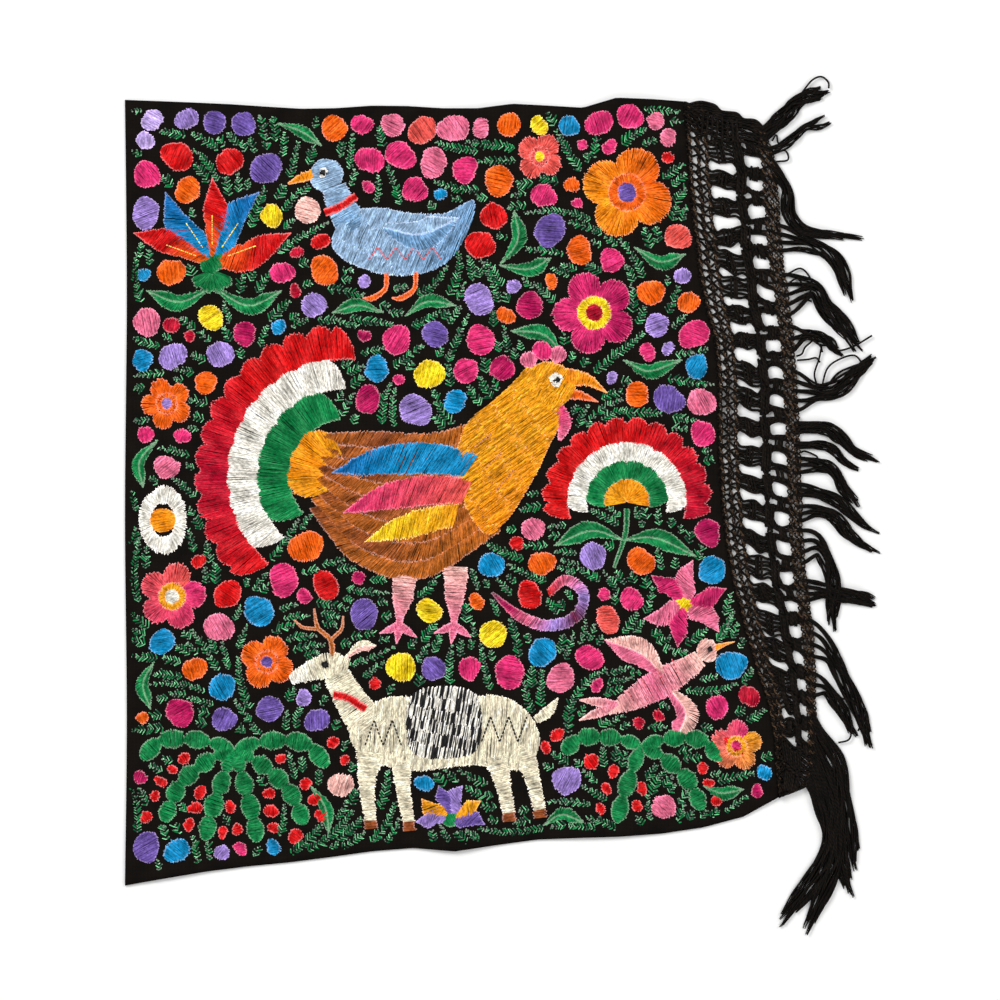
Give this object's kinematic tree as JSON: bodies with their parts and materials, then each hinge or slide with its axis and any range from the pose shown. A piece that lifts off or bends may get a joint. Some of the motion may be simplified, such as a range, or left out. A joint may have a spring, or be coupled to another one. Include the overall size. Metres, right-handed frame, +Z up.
{
  "type": "otomi embroidered cloth",
  "caption": "Dark woven table cloth filled with satin-stitch birds, animals and flowers, with a knotted openwork band and a tassel fringe along one end",
  "frame": {"origin": "on the surface that the cloth lies on, under the middle of the cloth", "axes": "+X runs to the fringed end, +Y to the far long edge, +Z up"},
  "size_m": [0.4157, 0.4617, 0.0058],
  "materials": {
    "woven_cotton": "matt plain weave, hemmed",
    "knotted_yarn": "soft twisted cotton yarn",
    "embroidery_thread": "shiny stranded cotton in many colours"
  },
  "bodies": {
    "root": {"ground_cloth": "woven_cotton", "knotted_band": "knotted_yarn", "tassel_fringe": "knotted_yarn"}
  },
  "joints": []
}
